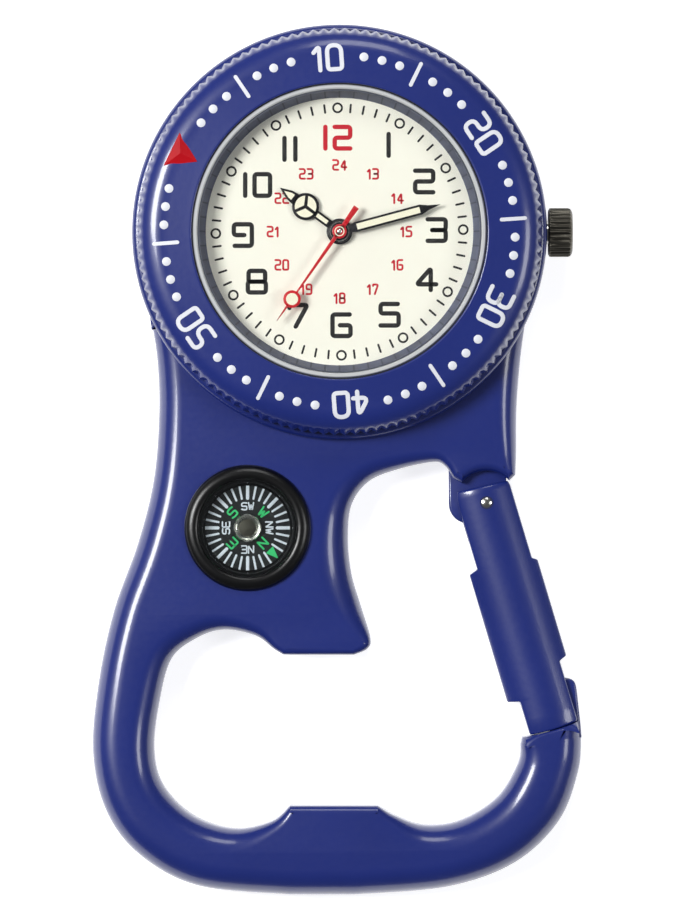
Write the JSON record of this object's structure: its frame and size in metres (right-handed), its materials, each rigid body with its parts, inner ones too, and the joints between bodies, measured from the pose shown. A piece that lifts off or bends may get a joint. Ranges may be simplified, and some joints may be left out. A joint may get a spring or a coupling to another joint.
{
  "type": "clip-on fob watch",
  "caption": "Clip-on quartz fob watch: carabiner frame with sprung gate, bottle opener and button compass, rotating count-up bezel, dial with sweep hands and pull-out crown.",
  "frame": {"origin": "on the watch's axis at the case back's outer face", "axes": "+Z out of the dial, +Y to twelve o'clock, +X to the crown"},
  "size_m": [0.0493, 0.0871, 0.0103],
  "materials": {
    "blue_paint": "satin cobalt blue paint on a zinc casting",
    "steel": "satin",
    "spring_steel": "bright",
    "polished_steel": "polished",
    "red_plastic": "gloss",
    "crystal_glass": "polished mineral glass",
    "clear_plastic": "clear dome",
    "white_nylon": "matte",
    "slate_plastic": "satin",
    "dial_print": "matte ivory lacquer",
    "black_lacquer": "gloss black lacquer",
    "red_lacquer": "gloss red lacquer",
    "brass": "machined",
    "holder_plastic": "moulded",
    "copper_wire": "enamelled wire",
    "soft_iron": "stamped",
    "board": "solder resist",
    "black_plastic": "gloss",
    "black_rubber": "matte",
    "gunmetal": "black nickel plate"
  },
  "bodies": {
    "case": {"carabiner_frame": "blue_paint", "crystal": "crystal_glass", "crystal_gasket": "white_nylon", "crystal_rim": "polished_steel", "chapter_ring": "slate_plastic", "dial": "dial_print", "movement_holder": "holder_plastic", "main_plate": "brass", "train_bridge": "steel", "movement_screws": "steel", "coil": "copper_wire", "coil_core": "soft_iron", "stator": "soft_iron", "battery": "steel", "battery_clamp": "steel", "circuit_board": "board", "quartz_can": "steel", "driver_chip": "black_plastic", "crown_tube": "steel", "case_back": "steel", "case_back_gasket": "black_rubber", "compass_cup": "black_plastic", "compass_ring": "black_plastic", "compass_dome": "clear_plastic", "compass_pivot": "spring_steel"},
    "gate_arm": {"gate": "blue_paint", "gate_pin": "polished_steel", "gate_spring": "spring_steel"},
    "plunger": {"gate_plunger": "spring_steel"},
    "turning_bezel": {"bezel": "blue_paint", "bezel_triangle": "red_plastic", "bezel_spring": "spring_steel"},
    "stem_slide": {"crown_gasket": "black_rubber"},
    "lever": {"setting_lever": "steel"},
    "compass_needle": {"compass_card": "black_plastic", "compass_magnet": "soft_iron", "compass_cap": "polished_steel"},
    "seconds": {"second_hand": "red_lacquer", "second_wheel": "brass"},
    "minutes": {"minute_hand": "black_lacquer", "minute_wheel": "brass"},
    "hours": {"hour_hand": "black_lacquer", "hour_wheel": "brass"},
    "third": {"third_wheel": "brass"},
    "fifth": {"fifth_wheel": "brass"},
    "motor_rotor": {"rotor": "soft_iron"},
    "motion": {"motion_wheel": "brass"},
    "stem_turn": {"setting_stem": "steel", "sliding_pinion": "steel", "crown": "gunmetal"}
  },
  "joints": [
    {"name": "gate_open", "type": "hinge", "parent": "case", "child": "gate_arm", "pos_m": [0.01472, -0.02707, 0], "axis": [0, 0, -1], "range_deg": [0, 35], "stiffness_Nm_per_rad": 0.01, "springref_deg": -17.19},
    {"name": "gate_plunger_slide", "type": "slide", "parent": "gate_arm", "child": "plunger", "axis": [0.2865, -0.9581, 0], "range_m": [0, 0.00045]},
    {"name": "bezel_turn", "type": "hinge", "parent": "case", "child": "turning_bezel", "pos_m": [0, 0, 0.008], "axis": [0, 0, 1], "continuous": true},
    {"name": "crown_pull", "type": "slide", "parent": "case", "child": "stem_slide", "axis": [1, 0, 0], "range_m": [0, 0.0008]},
    {"name": "crown_turn", "type": "hinge", "parent": "stem_slide", "child": "stem_turn", "pos_m": [0.02, 0, 0.0039], "axis": [1, 0, 0], "continuous": true},
    {"name": "setting_lever_swing", "type": "hinge", "parent": "case", "child": "lever", "pos_m": [0.01, 0.0024, 0], "axis": [0, 0, 1], "range_deg": [0, 19.2]},
    {"name": "compass_card_turn", "type": "hinge", "parent": "case", "child": "compass_needle", "pos_m": [-0.0092, -0.0296, 0.0043], "axis": [0, 0, 1], "continuous": true},
    {"name": "second_hand_turn", "type": "hinge", "parent": "case", "child": "seconds", "pos_m": [0, 0, 0.006], "axis": [0, 0, -1], "continuous": true},
    {"name": "minute_hand_turn", "type": "hinge", "parent": "case", "child": "minutes", "pos_m": [0, 0, 0.006], "axis": [0, 0, -1], "continuous": true},
    {"name": "hour_hand_turn", "type": "hinge", "parent": "case", "child": "hours", "pos_m": [0, 0, 0.006], "axis": [0, 0, -1], "continuous": true},
    {"name": "third_wheel_turn", "type": "hinge", "parent": "case", "child": "third", "pos_m": [-0.00338, 0.0006, 0.004], "axis": [0, 0, -1], "continuous": true},
    {"name": "fifth_wheel_turn", "type": "hinge", "parent": "case", "child": "fifth", "pos_m": [0.00244, 0.00227, 0.004], "axis": [0, 0, -1], "continuous": true},
    {"name": "rotor_turn", "type": "hinge", "parent": "case", "child": "motor_rotor", "pos_m": [0.0024, 0.0051, 0.004], "axis": [0, 0, -1], "continuous": true},
    {"name": "motion_wheel_turn", "type": "hinge", "parent": "case", "child": "motion", "pos_m": [-0.00097, -0.00266, 0.0064], "axis": [0, 0, -1], "continuous": true}
  ],
  "couplings": [
    {"joint": "gate_plunger_slide", "follows": "gate_open", "m_per_rad": 0.00072029},
    {"joint": "setting_lever_swing", "follows": "crown_pull", "rad_per_m": 418.62},
    {"joint": "minute_hand_turn", "follows": "second_hand_turn", "ratio": 0.016667},
    {"joint": "hour_hand_turn", "follows": "second_hand_turn", "ratio": 0.0013889},
    {"joint": "third_wheel_turn", "follows": "second_hand_turn", "ratio": -0.13333},
    {"joint": "motion_wheel_turn", "follows": "second_hand_turn", "ratio": -0.0055556},
    {"joint": "fifth_wheel_turn", "follows": "second_hand_turn", "ratio": -5},
    {"joint": "rotor_turn", "follows": "second_hand_turn", "ratio": 30}
  ]
}
